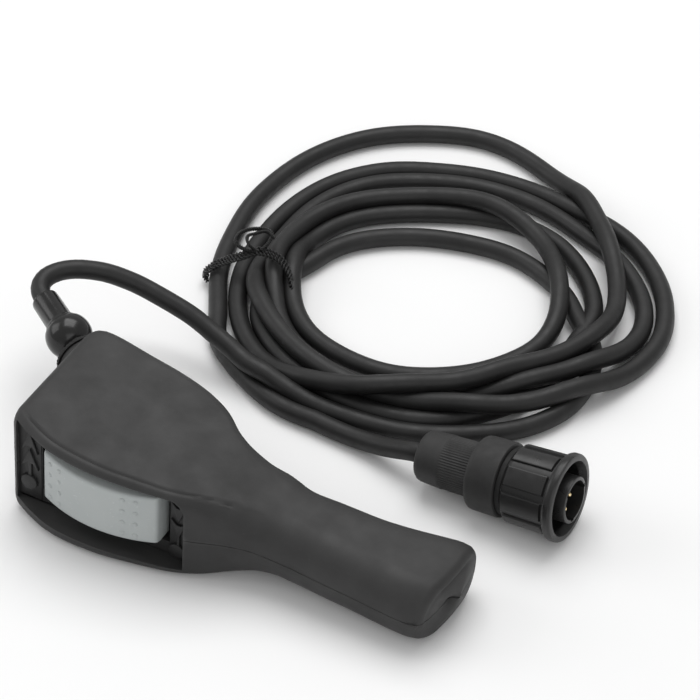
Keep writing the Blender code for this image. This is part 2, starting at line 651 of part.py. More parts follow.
# ---------------------------------------------------------------- gland and cord

def make_gland():
    """The strain relief: a sleeve and a ball on a spigot, and the washer at its foot."""
    mouth = SLEEVE_END
    profile = [(CORD_R + GAP, mouth), (6.0, mouth), (6.5, mouth - 0.5), (6.9, BALL_AT + 9.6)]
    for step in range(9):
        angle = math.radians(50.0 - 98.0 * step / 8)
        groove = 0.7 if step == 1 else 0.0
        profile.append(((BALL_R - groove) * math.cos(angle), BALL_AT + (BALL_R - groove) * math.sin(angle)))
    profile += [(8.6, 4.4), (9.2, 2.3 + GAP), (SPIGOT_R, 2.3 + GAP), (SPIGOT_R, -13.0), (7.4, -14.0),
                (CORD_R + GAP, -14.0)]
    lathe("strain_relief", profile, GLAND_VINYL, GLAND, steps=28, closed=True)
    washer = ((12.6, 2.3), (13.2, 1.8), (13.2, GAP), (SPIGOT_R + GAP, GAP), (SPIGOT_R + GAP, 2.3))
    lathe("gland_washer", washer, SEAL_RUBBER, GLAND, steps=28, closed=True)


def make_cord():
    """The free cord: the lead from the gland, the coil, its tie and the tail to the plug."""
    lead = [world_point(GLAND, (0, 0, SLEEVE_END + out)) for out in (GAP, 2.0, 3.8)]
    tube("cord_lead", route_points([*lead, *LEAD_ROUTE], 9.0 / 3.2), CORD_R, CORD_JACKET)
    tail = [world_point(PLUG, (0, 0, -6.0)), world_point(PLUG, (0, 0, -GAP))]
    tube("cord_tail", route_points([*TAIL_ROUTE, *tail], 9.0 / 2.0), CORD_R, CORD_JACKET)
    x, y, radius = COIL_OUTER
    coil = cylinder("cord_coil", radius, *COIL_Z, CORD_JACKET, None,
                    Matrix.Translation((x * MM, y * MM, 0.0)), 56, bevel=4.0)
    x, y, radius = COIL_INNER
    boolean(coil, cylinder("coil_hole", radius, COIL_Z[0] - 5.0, COIL_Z[1] + 5.0, None, None,
                           Matrix.Translation((x * MM, y * MM, 0.0)), 40))
    at = Matrix.Translation((TIE_AT[0] * MM, TIE_AT[1] * MM, 0.0))
    at = at @ Matrix.Rotation(math.radians(TIE_TURN), 4, "Z")
    half = TIE_SPAN / 2
    low, high = COIL_Z
    tie = box("coil_tie", (-half - 1.5, -3.0, low - GAP - 1.5), (half + 1.5, 3.0, high + GAP + 1.5),
              TIE_WIRE, None, at, bevel=0.6)
    boolean(tie, box("tie_inside", (-half, -8.0, low - GAP), (half, 8.0, high + GAP), None, None, at))
    knot = box("tie_knot", (-5.0, -5.0, high + 1.0), (6.0, 6.0, high + 8.0), None, None, at, bevel=2.0)
    boolean(tie, knot, "UNION")


# ---------------------------------------------------------------- plug

def make_plug_shell():
    """The moulded boot with its gripping band, the shoulder in front of it and the seal."""
    bore = CORD_R + GAP
    profile = ((bore, 45.4), (17.6, 45.4), (18.2, 44.8), (17.9, 30.0), (17.2, 27.8), (15.4, 27.4),
               (13.4, 27.0), (12.9, 13.8), (13.1, 13.2), (12.4, 2.6), (11.4, 0.8), (9.6, 0.0), (bore, 0.0))
    shell = lathe("plug_boot", profile, PLUG_MATT, PLUG, steps=32, closed=True)
    boolean(shell, cylinder("insert_socket", SHROUD_FOOT_R + GAP, 36.0, 50.0, None, PLUG, sides=32))
    washer = ((15.6, 48.2), (16.2, 47.8), (16.2, 45.4 + GAP), (SHROUD_FOOT_R + GAP, 45.4 + GAP),
              (SHROUD_FOOT_R + GAP, 48.2))
    lathe("plug_seal", washer, SEAL_RUBBER, PLUG, steps=32, closed=True)
    jacket = ((0.0, 34.0), (CORD_R, 34.0), (CORD_R, GAP), (0.0, GAP))
    lathe("cord_in_plug", jacket, CORD_JACKET, PLUG, steps=16)


def make_coupling_ring():
    """The ring that turns on the shroud: raised grip panels, a lip and three inner lugs."""
    profile = ((RING_MOUTH, RING_END), (20.4, RING_END), (21.3, RING_END - 0.9), (21.3, RING_END - 3.6),
               (20.5, RING_END - 5.4), (18.5, RING_END - 6.0), (17.9, RING_START + 1.0),
               (17.4, RING_START), (RING_BORE, RING_START), (RING_BORE, RING_START + 6.0),
               (RING_MOUTH, RING_START + 6.3))
    ring = lathe("coupling_ring", profile, PLUG_GLOSS, PLUG, steps=36, closed=True)
    for index in range(PANELS):
        turn = Matrix.Rotation(2 * math.pi * index / PANELS, 4, "Z")
        panel = box(f"grip_panel_{index}", (17.0, -4.6, RING_START + 1.4), (19.0, 4.6, RING_END - 5.0),
                    None, PLUG, turn)
        boolean(ring, panel, "UNION")
    for index in range(3):
        turn = Matrix.Rotation(2 * math.pi * (index + 0.25) / 3, 4, "Z")
        lug = box(f"bayonet_lug_{index}", (15.0, -1.8, RING_END - 9.0), (16.9, 1.8, RING_END - 5.5),
                  None, PLUG, turn)
        boolean(ring, lug, "UNION")


def make_shroud():
    """The shroud around the pins, with its keyways, the clip that keeps the ring on, and the insert."""
    profile = ((SHROUD_BORE, SHROUD_END), (SHROUD_R - 0.4, SHROUD_END), (SHROUD_R, SHROUD_END - 0.4),
               (SHROUD_R, 58.0), (14.2, 58.0), (14.2, 55.2), (SHROUD_FOOT_R, 55.2),
               (SHROUD_FOOT_R, 36.0 + GAP), (SHROUD_BORE, 36.0 + GAP))
    shroud = lathe("pin_shroud", profile, PLUG_GLOSS, PLUG, steps=32, closed=True)
    for index, (angle, half) in enumerate(((-20.0, 1.6), (100.0, 1.2), (220.0, 1.2))):
        turn = Matrix.Rotation(math.radians(angle), 4, "Z")
        boolean(shroud, box(f"keyway_{index}", (SHROUD_BORE - 1.0, -half, INSERT_FACE + 4.0),
                            (SHROUD_BORE + 0.9, half, SHROUD_END + 2.0), None, PLUG, turn))
    insert = cylinder("pin_insert", SHROUD_BORE - GAP, 40.0, INSERT_FACE, SWITCH_BLACK, PLUG, sides=32)
    for index, (x, y) in enumerate(PIN_SITES):
        at = Matrix.Translation((x * MM, y * MM, 0.0))
        cavity = cylinder(f"cavity_{index}", PIN_BODY_R + GAP, 38.0, INSERT_FACE + 2.0, None, PLUG, at, 12)
        boolean(insert, cavity)
        pin = ((0.0, PIN_TIP), (0.7, PIN_TIP), (PIN_R_FRONT, PIN_TIP - 0.7),
               (PIN_R_FRONT, INSERT_FACE - 1.0), (PIN_BODY_R, INSERT_FACE - 1.6), (PIN_BODY_R, 41.0),
               (0.0, 41.0))
        lathe(f"contact_pin_{index + 1}", pin, GOLD, PLUG, at, 12)
        ends = [(x * k, y * k, z) for k, z in ((WIRE_SPREAD, 34.0 + GAP), (WIRE_SPREAD, 35.2), (1.0, 39.4),
                                               (1.0, 41.0 - GAP))]
        tube(f"plug_conductor_{index + 1}", route_points([world_point(PLUG, p) for p in ends], 1.2),
             0.9, WIRE_COLOURS[index])


make_casing()
make_rocker()
make_plunger()
make_switch_housing()
make_contacts()
make_conductors()
make_gland()
make_cord()
make_plug_shell()
make_coupling_ring()
make_shroud()
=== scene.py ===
import json
import math

import bmesh
import bpy
import numpy as np
from mathutils import Matrix, Vector, noise


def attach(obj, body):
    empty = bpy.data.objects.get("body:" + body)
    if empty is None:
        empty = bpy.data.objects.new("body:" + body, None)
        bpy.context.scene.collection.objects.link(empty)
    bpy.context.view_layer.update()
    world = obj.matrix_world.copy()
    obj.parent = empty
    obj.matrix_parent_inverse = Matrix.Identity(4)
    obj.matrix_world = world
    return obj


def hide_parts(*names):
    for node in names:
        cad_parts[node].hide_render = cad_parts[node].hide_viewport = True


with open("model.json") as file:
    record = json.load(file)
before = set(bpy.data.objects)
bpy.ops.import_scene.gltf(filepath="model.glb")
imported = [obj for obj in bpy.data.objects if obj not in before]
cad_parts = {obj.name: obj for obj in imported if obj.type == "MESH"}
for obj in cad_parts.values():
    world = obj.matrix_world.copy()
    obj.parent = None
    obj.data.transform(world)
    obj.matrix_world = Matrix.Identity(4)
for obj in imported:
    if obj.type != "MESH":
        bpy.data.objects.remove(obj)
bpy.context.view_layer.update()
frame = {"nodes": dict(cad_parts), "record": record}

MM = 0.001
HANDSET_TILT = 3.6

# ------------------------------------------------------------------ camera, floor and light

TARGET = Vector((-0.0185, 0.1401, 0.0))
VIEW_FROM = Vector((0.3573, -0.6776, 0.6428))
CAMERA_DISTANCE = 1.55


def make_camera():
    """A long lens above and to the right of the handset."""
    data = bpy.data.cameras.new("camera")
    data.lens = 160
    data.sensor_width = 36
    data.clip_start = 0.01
    data.clip_end = 20
    camera = bpy.data.objects.new("camera", data)
    bpy.context.scene.collection.objects.link(camera)
    camera.location = TARGET + VIEW_FROM * CAMERA_DISTANCE
    camera.rotation_euler = (-VIEW_FROM).to_track_quat("-Z", "Y").to_euler()
    bpy.context.scene.camera = camera


def area_light(name, at, aim, size, power):
    """A soft square light."""
    data = bpy.data.lights.new(name, "AREA")
    data.size = size
    data.energy = power
    light = bpy.data.objects.new(name, data)
    bpy.context.scene.collection.objects.link(light)
    light.location = at
    light.rotation_euler = (Vector(aim) - Vector(at)).to_track_quat("-Z", "Y").to_euler()


make_camera()
area_light("overhead", (-0.25, 0.75, 1.9), (0.0, 0.1, 0.0), 1.6, 26)
area_light("front_fill", (1.3, -1.5, 1.3), (0.0, 0.0, 0.0), 1.6, 9)
area_light("left_fill", (-1.7, -0.4, 1.0), (0.0, 0.0, 0.0), 1.2, 8)
world = bpy.data.worlds.new("studio")
bpy.context.scene.world = world
world.use_nodes = True
world.node_tree.nodes["Background"].inputs["Color"].default_value = (1.0, 1.0, 1.0, 1.0)
world.node_tree.nodes["Background"].inputs["Strength"].default_value = 0.5
bpy.context.scene.view_settings.view_transform = "Standard"

# ------------------------------------------------------------------ materials


class Nodes:
    """A short way to write a node material."""

    def __init__(self, name):
        self.mat = bpy.data.materials.new(name)
        self.mat.use_nodes = True
        self.tree = self.mat.node_tree
        self.shader = self.tree.nodes["Principled BSDF"]
        self.coords = self.tree.nodes.new("ShaderNodeTexCoord").outputs["Object"]

    def noise(self, scale, detail=4.0, rough=0.55, stretch=None):
        """Noise in metres; scale is features per metre."""
        node = self.tree.nodes.new("ShaderNodeTexNoise")
        node.inputs["Scale"].default_value = scale
        node.inputs["Detail"].default_value = detail
        node.inputs["Roughness"].default_value = rough
        source = self.coords
        if stretch:
            mapping = self.tree.nodes.new("ShaderNodeMapping")
            mapping.inputs["Scale"].default_value = stretch
            self.tree.links.new(source, mapping.inputs["Vector"])
            source = mapping.outputs["Vector"]
        self.tree.links.new(source, node.inputs["Vector"])
        return node.outputs["Fac"]

    def ramp(self, source, stops):
        """A colour ramp of (place, colour or grey) stops."""
        node = self.tree.nodes.new("ShaderNodeValToRGB")
        elements = node.color_ramp.elements
        while len(elements) < len(stops):
            elements.new(0.5)
        for element, (place, value) in zip(elements, stops):
            colour = value if isinstance(value, tuple) else (value, value, value)
            element.position = place
            element.color = (*colour, 1.0)
        self.tree.links.new(source, node.inputs["Fac"])
        return node.outputs["Color"]

    def mix(self, factor, a, b):
        """Mix two colours; factor is a number or a socket."""
        node = self.tree.nodes.new("ShaderNodeMix")
        node.data_type = "RGBA"
        for socket, value in ((node.inputs["Factor"], factor), (node.inputs[6], a), (node.inputs[7], b)):
            if isinstance(value, (int, float)):
                socket.default_value = value
            elif isinstance(value, tuple):
                socket.default_value = (*value, 1.0)
            else:
                self.tree.links.new(value, socket)
        return node.outputs[2]

    def pointiness(self, low, high):
        """White on worn edges."""
        source = self.tree.nodes.new("ShaderNodeNewGeometry").outputs["Pointiness"]
        return self.ramp(source, [(low, 0.0), (high, 1.0)])

    def bump(self, source, distance, strength=1.0, after=None):
        """Bump of a height in metres."""
        node = self.tree.nodes.new("ShaderNodeBump")
        node.inputs["Distance"].default_value = distance
        node.inputs["Strength"].default_value = strength
        self.tree.links.new(source, node.inputs["Height"])
        if after:
            self.tree.links.new(after, node.inputs["Normal"])
        return node.outputs["Normal"]

    def finish(self, colour, rough, normal=None, **constants):
        """Link the sockets and set the constants."""
        self.tree.links.new(colour, self.shader.inputs["Base Color"])
        self.tree.links.new(rough, self.shader.inputs["Roughness"])
        if normal:
            self.tree.links.new(normal, self.shader.inputs["Normal"])
        for name, value in constants.items():
            self.shader.inputs[name.replace("_", " ")].default_value = value
        return self.mat


def moulded(name, dark, light, rough, grain=2600.0, depth=0.00005, mottle=38.0, wear=0.0, specular=0.4):
    """Moulded plastic or rubber: mottled tone, fine grain, uneven gloss and paler worn edges."""
    n = Nodes(name)
    patches = n.noise(mottle, 5.0, 0.6)
    colour = n.ramp(patches, [(0.32, dark), (0.70, light)])
    specks = n.ramp(n.noise(mottle * 22, 2.0), [(0.66, 0.0), (0.80, 1.0)])
    colour = n.mix(n.ramp(specks, [(0.0, 0.0), (1.0, 0.18)]), colour, tuple(c * 2.2 for c in light))
    if wear:
        edge = n.pointiness(0.52, 0.60)
        colour = n.mix(n.mix(wear, (0.0, 0.0, 0.0), edge), colour, tuple(min(c * 2.6, 1.0) for c in light))
    gloss = n.ramp(n.noise(mottle * 3, 4.0), [(0.30, rough - 0.07), (0.72, rough + 0.08)])
    normal = n.bump(n.noise(grain, 3.0, 0.7), depth, 0.55)
    normal = n.bump(n.noise(mottle * 4, 3.0), depth * 3, 0.35, normal)
    return n.finish(colour, gloss, normal, Specular_IOR_Level=specular)


def metal(name, dark, light, rough):
    """Plated or stamped metal with fine drawn lines."""
    n = Nodes(name)
    colour = n.ramp(n.noise(240.0, 4.0), [(0.3, dark), (0.7, light)])
    gloss = n.ramp(n.noise(900.0, 3.0), [(0.3, rough - 0.06), (0.7, rough + 0.08)])
    normal = n.bump(n.noise(2400.0, 2.0, 0.6, (1.0, 0.15, 1.0)), 0.00002, 0.5)
    return n.finish(colour, gloss, normal, Metallic=1.0)


def grey(value):
    """A neutral colour, a little warm."""
    return (value * 1.01, value, value * 0.995)


MATS = {
    "casing_rubber": moulded("casing_rubber", grey(0.019), grey(0.030), 0.60, wear=0.45, mottle=26.0,
                             depth=0.00007),
    "cord_jacket": moulded("cord_jacket", grey(0.009), grey(0.015), 0.50, mottle=60.0, depth=0.00003,
                           specular=0.38),
    "gland_vinyl": moulded("gland_vinyl", grey(0.009), grey(0.014), 0.20, depth=0.00001, mottle=50.0),
    "rocker_grey": moulded("rocker_grey", (0.375, 0.402, 0.400), (0.415, 0.440, 0.436), 0.42, mottle=30.0,
                           depth=0.00003),
    "switch_black": moulded("switch_black", grey(0.010), grey(0.017), 0.50, mottle=70.0, wear=0.3),
    "plug_matt": moulded("plug_matt", grey(0.015), grey(0.023), 0.62, mottle=60.0, wear=0.35,
                         depth=0.00006),
    "plug_gloss": moulded("plug_gloss", grey(0.009), grey(0.015), 0.33, mottle=55.0, wear=0.25,
                          depth=0.00003),
    "seal_rubber": moulded("seal_rubber", grey(0.008), grey(0.013), 0.72, mottle=80.0),
    "steel": metal("steel", (0.46, 0.47, 0.49), (0.62, 0.63, 0.65), 0.34),
    "brass": metal("brass", (0.70, 0.52, 0.24), (0.86, 0.68, 0.36), 0.30),
    "gold_plate": metal("gold_plate", (0.88, 0.66, 0.34), (0.98, 0.82, 0.52), 0.20),
    "crimp_vinyl": moulded("crimp_vinyl", (0.05, 0.12, 0.40), (0.09, 0.18, 0.52), 0.40),
    "wire_black": moulded("wire_black", grey(0.015), grey(0.026), 0.42),
    "wire_white": moulded("wire_white", grey(0.70), grey(0.80), 0.42),
    "wire_green": moulded("wire_green", (0.03, 0.26, 0.07), (0.05, 0.36, 0.11), 0.42),
    "tie_wire": moulded("tie_wire", grey(0.008), grey(0.017), 0.36, grain=5200.0, depth=0.00012,
                        mottle=120.0),
}

for part in frame["record"]["subparts"]:
    node = frame["nodes"][part["node"]]
    node.data.materials.clear()
    node.data.materials.append(MATS[part["material_slot"]])

# ------------------------------------------------------------------ making pieces


def piece(name, bm, slot, body, replaced=(), matrix=None, smooth_deg=35.0):
    """A finished mesh piece: made in mm in its own frame, then set in the row frame."""
    bmesh.ops.scale(bm, vec=(MM, MM, MM), verts=bm.verts)
    if matrix:
        bmesh.ops.transform(bm, matrix=matrix, verts=bm.verts)
    bmesh.ops.recalc_face_normals(bm, faces=bm.faces)
    mesh = bpy.data.meshes.new(name)
    bm.to_mesh(mesh)
    bm.free()
    mesh.shade_smooth()
    mesh.set_sharp_from_angle(angle=math.radians(smooth_deg))
    obj = bpy.data.objects.new(name, mesh)
    bpy.context.scene.collection.objects.link(obj)
    if slot:
        mesh.materials.append(MATS[slot])
        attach(obj, body)
    if replaced:
        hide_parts(*replaced)
    return obj


def turned(name, profile, slot, body, replaced, matrix, steps=96, shape=None, smooth_deg=35.0):
    """A closed profile of (radius, height) pairs in mm turned about Z; shape changes a radius."""
    bm = bmesh.new()
    rings = []
    for r, z in profile:
        ring = []
        for step in range(steps):
            angle = 2 * math.pi * step / steps
            radius = shape(r, z, angle) if shape else r
            ring.append(bm.verts.new((radius * math.cos(angle), radius * math.sin(angle), z)))
        rings.append(ring)
    for first, second in zip(rings, rings[1:] + rings[:1]):
        for i in range(steps):
            j = (i + 1) % steps
            bm.faces.new((first[i], first[j], second[j], second[i]))
    return piece(name, bm, slot, body, replaced, matrix, smooth_deg)


def fine_profile(points, step):
    """The same profile with long runs divided."""
    out = []
    for (r0, z0), (r1, z1) in zip(points, points[1:] + points[:1]):
        count = max(1, int(math.hypot(r1 - r0, z1 - z0) / step))
        out += [(r0 + (r1 - r0) * k / count, z0 + (z1 - z0) * k / count) for k in range(count)]
    return out


def axis_matrix(at, azimuth, rise):
    """A frame at a point in mm whose Z axis has this azimuth and rise, in degrees."""
    turn = Matrix.Rotation(math.radians(azimuth), 4, "Z")
    tip = Matrix.Rotation(math.radians(90.0 - rise), 4, "Y")
    return Matrix.Translation(Vector(at) * MM) @ turn @ tip


def point_in(matrix, point):
    """A point of a frame, in mm, as a world point in mm."""
    return (matrix @ (Vector(point) * MM)) / MM


HANDSET = Matrix.Translation(Vector((2.8, -3.5, 23.609)) * MM)
HANDSET = HANDSET @ Matrix.Rotation(math.radians(HANDSET_TILT), 4, "Y")
GLAND = axis_matrix((-108.5, 37.0, 37.0), 148.0, 9.0)
PLUG = axis_matrix((57.0, 71.8, 15.8), -1.8, 4.9)
SLEEVE_END = 41.5
CORD_R = 4.8
LAYING_SPACING, FINE_SPACING = 5.0, 2.5

# ------------------------------------------------------------------ cord

LEAD = ((-148.9, 63.9, 45.3), (-149.7, 68.0, 46.4), (-148.6, 72.0, 47.2), (-146.3, 75.6, 47.6),
        (-143.0, 79.3, 47.6), (-138.5, 83.0, 47.1), (-132.9, 86.8, 45.8), (-126.8, 90.2, 44.0),
        (-119.5, 93.4, 41.0), (-110.4, 96.3, 37.0), (-94.0, 98.8, 30.0), (-83.1, 99.3, 25.5),
        (-72.4, 98.1, 21.0), (-61.8, 96.1, 17.5), (-51, 93, 14.5))
# Six passes of the coil, from the lead to the plug: x, y and the height at which the cord is laid.
LOWEST = ((-37, 91, 13), (-23, 90, 10), (-9, 90, 7), (8, 91, 5), (27, 92, 5), (48, 98, 5), (64, 106, 5),
          (84, 120, 5), (98, 142, 5), (101, 161, 5), (97, 180, 5), (87, 197, 5), (73, 213, 5),
          (56, 228, 5), (39, 236, 5), (23, 241, 5), (2, 240, 5), (-21, 235, 5), (-39, 227, 5),
          (-55, 216, 5), (-66, 202, 5), (-71, 187, 5))
FIFTH = ((-75, 173, 5), (-77, 158, 5), (-70, 139, 5), (-54, 124, 5), (-31, 110, 5), (-8, 104, 5),
         (15, 103, 5), (37, 106, 5), (55, 118, 5), (68, 134, 5), (78, 155, 5), (83, 181, 5), (82, 205, 5),
         (74, 226, 5), (58, 246, 5), (36, 261, 5), (12, 265, 5), (-9, 263, 5), (-31, 255, 5),
         (-48, 246, 5), (-64, 234, 5), (-74, 217, 5), (-77, 196, 6))
FOURTH = ((-73, 173, 8), (-63, 154, 9), (-48, 139, 9), (-31, 131, 6), (-12, 127, 5), (9, 127, 5),
          (29, 135, 5), (47, 148, 5), (59, 164, 6), (67, 181, 9), (68, 199, 12), (63, 217, 13),
          (48, 238, 13), (33, 254, 13), (12, 263, 13), (-10, 264, 13), (-32, 257, 13), (-52, 245, 13),
          (-66, 231, 13), (-76, 211, 13), (-77, 190, 14))
THIRD = ((-76, 171, 14), (-69, 152, 14), (-58, 136, 14), (-42, 122, 15), (-23, 112, 15), (-1, 107, 15),
         (21, 111, 15), (40, 119, 15), (58, 132, 15), (73, 145, 15), (87, 162, 14), (98, 178, 14),
         (105, 197, 14), (106, 216, 14), (100, 233, 14), (89, 248, 14), (72, 263, 11), (50, 274, 7),
         (23, 286, 5), (-1, 291, 5), (-22, 289, 5), (-44, 281, 5), (-70, 266, 5), (-84, 247, 5),
         (-90, 223, 8), (-89, 198, 12))
SECOND = ((-87, 177, 14), (-80, 158, 14), (-69, 141, 14), (-52, 125, 14), (-32, 112, 13), (-9, 106, 13),
          (14, 105, 13), (33, 108, 13), (50, 113, 13), (69, 123, 13), (86, 137, 13), (98, 153, 11),
          (110, 175, 8), (116, 196, 6), (117, 215, 5), (111, 234, 5), (101, 252, 5), (83, 271, 5),
          (62, 284, 6), (39, 290, 9), (18, 293, 12), (-2, 292, 13), (-23, 290, 13), (-45, 283, 13),
          (-63, 275, 13), (-78, 260, 13), (-88, 243, 13), (-94, 220, 14), (-95, 203, 14), (-94, 187, 14))
FIRST = ((-91, 169, 14), (-85, 149, 14), (-75, 132, 14), (-63, 119, 14), (-48, 109, 15), (-28, 103, 18),
         (-9, 102, 21), (12, 105, 23), (31, 114, 24), (49, 125, 24), (64, 139, 24), (77, 155, 24),
         (86, 173, 24), (91, 192, 24), (92, 212, 24), (86, 231, 24), (75, 251, 24), (59, 271, 22),
         (36, 293, 17), (9, 311, 11), (-16, 322, 7), (-39, 324, 5), (-62, 316, 5), (-84, 303, 5),
         (-100, 285, 5), (-111, 262, 5), (-116, 237, 5), (-117, 214, 5), (-113, 191, 5), (-108, 170, 5),
         (-99, 149, 5), (-87, 130, 5))
TAIL = ((-79.4, 112.8, 5.4), (-66.6, 103.2, 5.4), (-50.9, 93.3, 5.4), (-28.8, 84.6, 5.4),
        (-9.1, 80.3, 5.4), (12.6, 77.6, 5.6), (27.2, 75.8, 7.5), (37.6, 74.0, 10.4))


def smooth_route(route, spacing):
    """Evenly spaced points in mm on a smooth curve through a route."""
    nodes = [Vector(p) for p in route]
    nodes = [nodes[0] * 2 - nodes[1], *nodes, nodes[-1] * 2 - nodes[-2]]
    dense = []
    for a, b, c, d in zip(nodes, nodes[1:], nodes[2:], nodes[3:]):
        for step in range(16):
            t = step / 16
            dense.append(0.5 * (2 * b + (c - a) * t + (2 * a - 5 * b + 4 * c - d) * t**2
                                + (3 * b - a - 3 * c + d) * t**3))
    dense = np.array([*dense, nodes[-2]])
    along = np.concatenate([[0.0], np.cumsum(np.linalg.norm(np.diff(dense, axis=0), axis=1))])
    count = int(along[-1] / spacing)
    wanted = np.linspace(0.0, along[-1], count + 1)
    return np.stack([np.interp(wanted, along, dense[:, k]) for k in range(3)], axis=1)


def softened(values, reach):
    """Each row averaged with its neighbours along the cord, ends kept."""
    kernel = np.exp(-0.5 * (np.arange(-3 * reach, 3 * reach + 1) / reach)**2)
    padded = np.pad(values, ((3 * reach, 3 * reach), (0, 0)), mode="edge")
    return np.stack([np.convolve(padded[:, k], kernel / kernel.sum(), "valid")
                     for k in range(values.shape[1])], axis=1)


def settle(points, held, spacing, rounds):
    """Let the laid cord sink onto the floor and onto itself, and push crossing turns apart."""
    start = points.copy()
    index = np.arange(len(points))
    apart = np.abs(index[:, None] - index[None, :]) > 34.0 / spacing
    free = (~held)[:, None].astype(float)
    reach = max(int(14.0 / spacing), 1)
    for turn in range(rounds):
        points[:, 2] -= 0.25 * free[:, 0]
        for _ in range(2):
            gap = points[:, None, :] - points[None, :, :]
            distance = np.sqrt((gap**2).sum(axis=2)) + 1e-9
            short = np.clip(2 * CORD_R + 0.05 - distance, 0.0, None) * apart
            push = gap * (short / distance)[:, :, None]
            push[:, :, 2] += 0.35 * short * np.sign(gap[:, :, 2])
            touching = np.maximum((short > 0).sum(axis=1), 1)[:, None]
            points = points + 0.5 * push.sum(axis=1) / touching**0.5 * free
            points[:, 2] = np.where(held, points[:, 2], np.maximum(points[:, 2], CORD_R + 0.05))
        if turn < rounds - 3:
            moved = points - start
            moved = softened(moved, reach)
            points = points * (1 - 0.6 * free) + (start + moved * 0.995) * 0.6 * free
    return points


def make_cord():
    """The whole free cord as one spline, from the strain relief's mouth to the plug."""
    spacing = LAYING_SPACING
    start = [point_in(GLAND, (0, 0, SLEEVE_END + out)) for out in (-5.0, 0.0, 2.0, 3.8)]
    end = [point_in(PLUG, (0, 0, -out)) for out in (6.0, 0.2)]
    parts = [start, LEAD, LOWEST, FIFTH, FOURTH, THIRD, SECOND, FIRST, TAIL, end]
    route = [tuple(p) for part in parts for p in part]
    points = smooth_route(route, spacing)
    along = np.arange(len(points)) * spacing
    held = (along < 150.0) | (along > along[-1] - 70.0)
    points = settle(points, held, spacing, 90)
    for _ in range(6):
        points[1:-1] = np.where(held[1:-1, None], points[1:-1],
                                points[1:-1] * 0.5 + (points[:-2] + points[2:]) * 0.25)
    points = smooth_route([tuple(p) for p in points], FINE_SPACING)
    curve = bpy.data.curves.new("cord", "CURVE")
    curve.dimensions = "3D"
    curve.bevel_depth = CORD_R * MM
    curve.bevel_resolution = 7
    curve.use_fill_caps = True
    spline = curve.splines.new("POLY")
    spline.points.add(len(points) - 1)
    for target, point in zip(spline.points, points):
        target.co = (*(point * MM), 1.0)
    spline.use_smooth = True
    curve.materials.append(MATS["cord_jacket"])
    cord = bpy.data.objects.new("cord", curve)
    bpy.context.scene.collection.objects.link(cord)
    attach(cord, "handset")
    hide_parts("cord_lead", "cord_coil", "cord_tail")
    return cord


CORD = make_cord()

# ------------------------------------------------------------------ casing

HEAD_END, GRIP_END, CAP_RISE = -107.2, 112.0, 2.6
BACK_PLAN = ((-109, 42.6), (-94, 42.9), (-73, 40.8), (-58, 39.0), (-44, 36.3), (-33, 32.6), (-24, 27.8),
             (-14, 19.8), (-5, 15.4), (6, 14.2), (17, 15.9), (28, 14.9), (40, 14.9), (70, 16.0),
             (96, 20.4), (109, 22.8))
FRONT_PLAN = ((-109, -29.5), (-101.7, -33.0), (-95, -36.6), (-83, -41.2), (-70, -43.3), (-54, -43.6),
              (-37, -41.7), (-20, -38.8), (-6, -34.2), (7, -29.4), (20, -26.6), (60, -28.1),
              (97, -30.2), (109, -30.6))
WINDOW = ((-103.3, -21.2), (-12.0, -19.2), (-12.0, 15.0), (-12.5, 17.6), (-14.2, 20.4), (-16.5, 21.9),
          (-19.5, 22.7), (-103.3, 27.0))
SCREW_SITES = ((-99.0, -16.0), (-99.0, 12.0), (-28.0, 12.0), (52.0, -6.0), (92.0, -5.0))


def smooth_value(table, u):
    """Read a smooth curve through (u, value) pairs, flat beyond its ends."""
    if u <= table[0][0]:
        return table[0][1]
    for index in range(len(table) - 1):
        (u0, a), (u1, b) = table[index], table[index + 1]
        if u > u1:
            continue
        before, after = table[max(index - 1, 0)], table[min(index + 2, len(table) - 1)]
        slope_a = (b - before[1]) / (u1 - before[0])
        slope_b = (after[1] - a) / (after[0] - u0)
        t, span = (u - u0) / (u1 - u0), u1 - u0
        return ((2 * t**3 - 3 * t**2 + 1) * a + (t**3 - 2 * t**2 + t) * span * slope_a
                + (3 * t**2 - 2 * t**3) * b + (t**3 - t**2) * span * slope_b)
    return table[-1][1]


def ease(u, start, end):
    """Go from 0 to 1 smoothly between start and end."""
    t = min(max((u - start) / (end - start), 0.0), 1.0)
    return t * t * (3 - 2 * t)


def half_height(u):
    """Half thickness of the casing at a station."""
    head = 30.4 - math.tan(math.radians(HANDSET_TILT)) * (u - HEAD_END)
    return head + (16.8 - head) * ease(u, -10.0, 34.0)


def rounding(distance, radius):
    """How far a side is drawn in at this distance from a rounded end."""
    if distance >= radius:
        return 0.0
    return radius - math.sqrt(max(radius**2 - (radius - distance)**2, 0.0))


# Where the top face gets extra points beside the crease: the gap in mm, and its limit as a part of a step.
CREASE_GAPS = ((2.4, 0.75), (1.2, 0.5), (0.5, 0.25))


